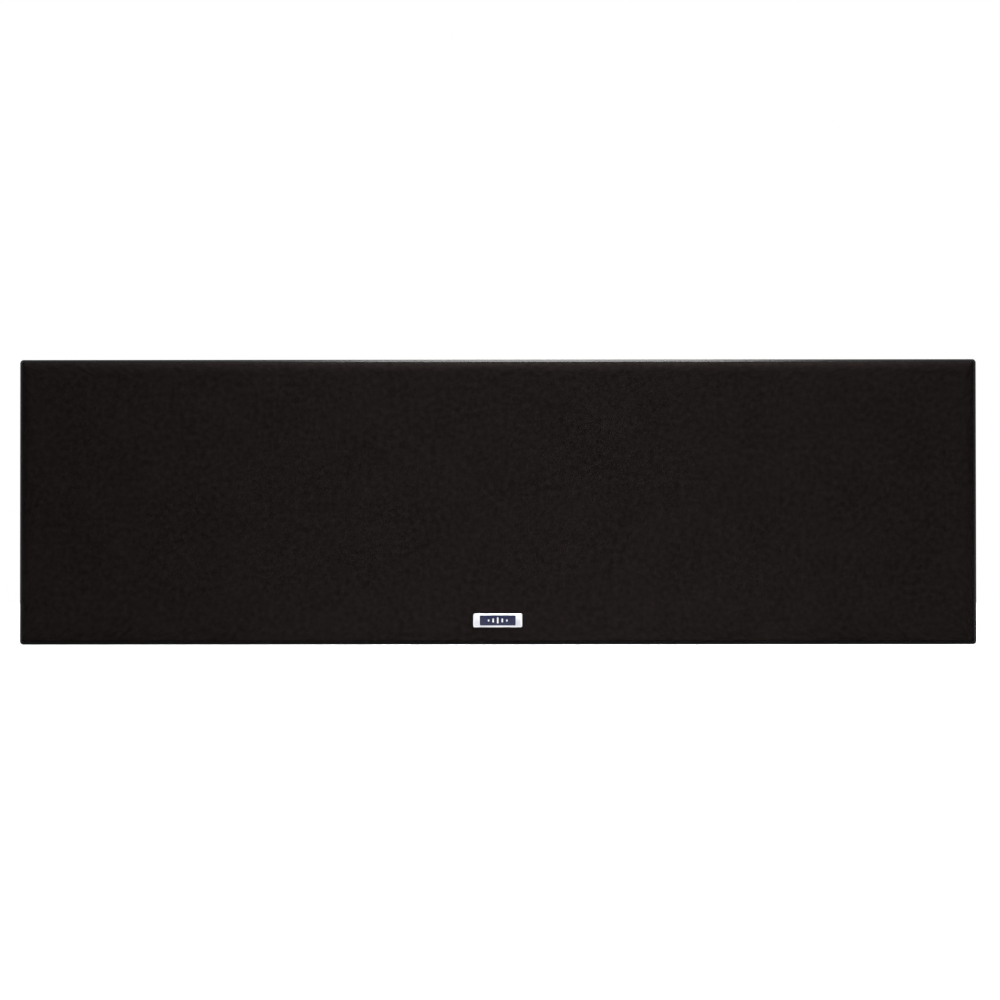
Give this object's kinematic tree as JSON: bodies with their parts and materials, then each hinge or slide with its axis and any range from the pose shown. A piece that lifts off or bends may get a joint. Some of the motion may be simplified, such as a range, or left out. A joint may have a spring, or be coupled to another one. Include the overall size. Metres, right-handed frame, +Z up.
{
  "type": "in-wall loudspeaker",
  "caption": "Long in-wall loudspeaker: cloth grille on pegs in a thin-rimmed frame, woofers beside a dome tweeter, and dog-leg clamps that grip the wall board.",
  "frame": {"origin": "centre of the flange's rear face, on the wall surface", "axes": "+X along the width, +Y into the wall, +Z up; the grille faces -Y"},
  "size_m": [0.674, 0.0812, 0.2008],
  "materials": {
    "frame_plastic": "satin moulded",
    "grille_plastic": "matte moulded",
    "cloth": "stretched knit",
    "badge": "satin with a dark blue band",
    "peg_plastic": "smooth",
    "socket_rubber": "matte",
    "faceplate": "fine grain",
    "dome_silk": "coated silk",
    "plated_steel": "zinc plated",
    "chamber_plastic": "smooth",
    "black_screw": "black oxide",
    "circuit_board": "solder mask",
    "copper_wire": "enamelled copper",
    "capacitor_film": "wrapped film",
    "cement": "ceramic",
    "zinc_screw": "zinc plated",
    "terminal_plastic": "smooth",
    "gold_brass": "gold plated",
    "cap_red": "smooth",
    "cap_black": "smooth",
    "brass_insert": "turned",
    "clamp_plastic": "glass filled",
    "cast_basket": "black powder coat on cast metal",
    "surround_rubber": "smooth",
    "cone_fibre": "pressed fibre",
    "cap_fibre": "pressed fibre",
    "spider_cloth": "resin-dipped cloth",
    "ferrite": "ground ferrite"
  },
  "bodies": {
    "speaker": {"baffle_frame": "frame_plastic", "peg_sockets": "socket_rubber", "tweeter_faceplate": "faceplate", "tweeter_dome": "dome_silk", "tweeter_cup": "plated_steel", "tweeter_magnet": "plated_steel", "tweeter_chamber": "chamber_plastic", "driver_screws": "black_screw", "crossover_board": "circuit_board", "woofer_coil": "copper_wire", "tweeter_coil": "copper_wire", "film_capacitor": "capacitor_film", "cement_resistor": "cement", "board_screws": "zinc_screw", "terminal_plate": "terminal_plastic", "terminal_studs": "gold_brass", "left_basket": "cast_basket", "left_surround": "surround_rubber", "left_spider": "spider_cloth", "left_gasket": "surround_rubber", "left_top_plate": "plated_steel", "left_magnet": "ferrite", "left_yoke": "plated_steel", "right_basket": "cast_basket", "right_surround": "surround_rubber", "right_spider": "spider_cloth", "right_gasket": "surround_rubber", "right_top_plate": "plated_steel", "right_magnet": "ferrite", "right_yoke": "plated_steel"},
    "grille": {"grille_frame": "grille_plastic", "grille_cloth": "cloth", "grille_pegs": "peg_plastic", "badge_plate": "badge"},
    "left_cone_body": {"left_cone": "cone_fibre", "left_dust_cap": "cap_fibre", "left_voice_coil": "copper_wire"},
    "right_cone_body": {"right_cone": "cone_fibre", "right_dust_cap": "cap_fibre", "right_voice_coil": "copper_wire"},
    "clamp_screw_1_body": {"clamp_screw_1": "zinc_screw"},
    "clamp_insert_1_body": {"clamp_insert_1": "brass_insert"},
    "clamp_arm_1_body": {"clamp_arm_1": "clamp_plastic"},
    "clamp_screw_2_body": {"clamp_screw_2": "zinc_screw"},
    "clamp_insert_2_body": {"clamp_insert_2": "brass_insert"},
    "clamp_arm_2_body": {"clamp_arm_2": "clamp_plastic"},
    "clamp_screw_3_body": {"clamp_screw_3": "zinc_screw"},
    "clamp_insert_3_body": {"clamp_insert_3": "brass_insert"},
    "clamp_arm_3_body": {"clamp_arm_3": "clamp_plastic"},
    "clamp_screw_4_body": {"clamp_screw_4": "zinc_screw"},
    "clamp_insert_4_body": {"clamp_insert_4": "brass_insert"},
    "clamp_arm_4_body": {"clamp_arm_4": "clamp_plastic"},
    "clamp_screw_5_body": {"clamp_screw_5": "zinc_screw"},
    "clamp_insert_5_body": {"clamp_insert_5": "brass_insert"},
    "clamp_arm_5_body": {"clamp_arm_5": "clamp_plastic"},
    "clamp_screw_6_body": {"clamp_screw_6": "zinc_screw"},
    "clamp_insert_6_body": {"clamp_insert_6": "brass_insert"},
    "clamp_arm_6_body": {"clamp_arm_6": "clamp_plastic"},
    "cap_plus_body": {"terminal_cap_plus": "cap_red"},
    "cap_minus_body": {"terminal_cap_minus": "cap_black"}
  },
  "joints": [
    {"name": "grille_pull", "type": "slide", "parent": "speaker", "child": "grille", "axis": [0, -1, 0], "range_m": [0, 0.06]},
    {"name": "left_cone_travel", "type": "slide", "parent": "speaker", "child": "left_cone_body", "axis": [0, -1, 0], "range_m": [-0.004, 0.004], "stiffness_N_per_m": 1200, "deforming": ["left_surround", "left_spider"]},
    {"name": "right_cone_travel", "type": "slide", "parent": "speaker", "child": "right_cone_body", "axis": [0, -1, 0], "range_m": [-0.004, 0.004], "stiffness_N_per_m": 1200, "deforming": ["right_surround", "right_spider"]},
    {"name": "clamp_1_turn", "type": "hinge", "parent": "speaker", "child": "clamp_screw_1_body", "pos_m": [-0.278, 0, 0.078], "axis": [0, 1, 0], "range_deg": [0, 4320]},
    {"name": "clamp_1_travel", "type": "slide", "parent": "speaker", "child": "clamp_insert_1_body", "axis": [0, -1, 0], "range_m": [0, 0.018]},
    {"name": "clamp_1_swing", "type": "hinge", "parent": "clamp_insert_1_body", "child": "clamp_arm_1_body", "pos_m": [-0.278, 0.031, 0.078], "axis": [0, 1, 0], "range_deg": [0, 90]},
    {"name": "clamp_2_turn", "type": "hinge", "parent": "speaker", "child": "clamp_screw_2_body", "pos_m": [0, 0, 0.078], "axis": [0, 1, 0], "range_deg": [0, 4320]},
    {"name": "clamp_2_travel", "type": "slide", "parent": "speaker", "child": "clamp_insert_2_body", "axis": [0, -1, 0], "range_m": [0, 0.018]},
    {"name": "clamp_2_swing", "type": "hinge", "parent": "clamp_insert_2_body", "child": "clamp_arm_2_body", "pos_m": [0, 0.031, 0.078], "axis": [0, 1, 0], "range_deg": [0, 90]},
    {"name": "clamp_3_turn", "type": "hinge", "parent": "speaker", "child": "clamp_screw_3_body", "pos_m": [0.278, 0, 0.078], "axis": [0, 1, 0], "range_deg": [0, 4320]},
    {"name": "clamp_3_travel", "type": "slide", "parent": "speaker", "child": "clamp_insert_3_body", "axis": [0, -1, 0], "range_m": [0, 0.018]},
    {"name": "clamp_3_swing", "type": "hinge", "parent": "clamp_insert_3_body", "child": "clamp_arm_3_body", "pos_m": [0.278, 0.031, 0.078], "axis": [0, 1, 0], "range_deg": [0, 90]},
    {"name": "clamp_4_turn", "type": "hinge", "parent": "speaker", "child": "clamp_screw_4_body", "pos_m": [-0.278, 0, -0.078], "axis": [0, 1, 0], "range_deg": [0, 4320]},
    {"name": "clamp_4_travel", "type": "slide", "parent": "speaker", "child": "clamp_insert_4_body", "axis": [0, -1, 0], "range_m": [0, 0.018]},
    {"name": "clamp_4_swing", "type": "hinge", "parent": "clamp_insert_4_body", "child": "clamp_arm_4_body", "pos_m": [-0.278, 0.031, -0.078], "axis": [0, 1, 0], "range_deg": [0, 90]},
    {"name": "clamp_5_turn", "type": "hinge", "parent": "speaker", "child": "clamp_screw_5_body", "pos_m": [0, 0, -0.078], "axis": [0, 1, 0], "range_deg": [0, 4320]},
    {"name": "clamp_5_travel", "type": "slide", "parent": "speaker", "child": "clamp_insert_5_body", "axis": [0, -1, 0], "range_m": [0, 0.018]},
    {"name": "clamp_5_swing", "type": "hinge", "parent": "clamp_insert_5_body", "child": "clamp_arm_5_body", "pos_m": [0, 0.031, -0.078], "axis": [0, 1, 0], "range_deg": [0, 90]},
    {"name": "clamp_6_turn", "type": "hinge", "parent": "speaker", "child": "clamp_screw_6_body", "pos_m": [0.278, 0, -0.078], "axis": [0, 1, 0], "range_deg": [0, 4320]},
    {"name": "clamp_6_travel", "type": "slide", "parent": "speaker", "child": "clamp_insert_6_body", "axis": [0, -1, 0], "range_m": [0, 0.018]},
    {"name": "clamp_6_swing", "type": "hinge", "parent": "clamp_insert_6_body", "child": "clamp_arm_6_body", "pos_m": [0.278, 0.031, -0.078], "axis": [0, 1, 0], "range_deg": [0, 90]},
    {"name": "cap_plus_turn", "type": "hinge", "parent": "speaker", "child": "cap_plus_body", "pos_m": [-0.288, 0.0245, 0.0095], "axis": [0, 1, 0], "range_deg": [-720, 720]},
    {"name": "cap_minus_turn", "type": "hinge", "parent": "speaker", "child": "cap_minus_body", "pos_m": [-0.288, 0.0245, -0.0095], "axis": [0, 1, 0], "range_deg": [-720, 720]}
  ],
  "couplings": [
    {"joint": "clamp_1_turn", "follows": "clamp_1_travel", "rad_per_m": 4188.8},
    {"joint": "clamp_2_turn", "follows": "clamp_2_travel", "rad_per_m": 4188.8},
    {"joint": "clamp_3_turn", "follows": "clamp_3_travel", "rad_per_m": 4188.8},
    {"joint": "clamp_4_turn", "follows": "clamp_4_travel", "rad_per_m": 4188.8},
    {"joint": "clamp_5_turn", "follows": "clamp_5_travel", "rad_per_m": 4188.8},
    {"joint": "clamp_6_turn", "follows": "clamp_6_travel", "rad_per_m": 4188.8}
  ]
}
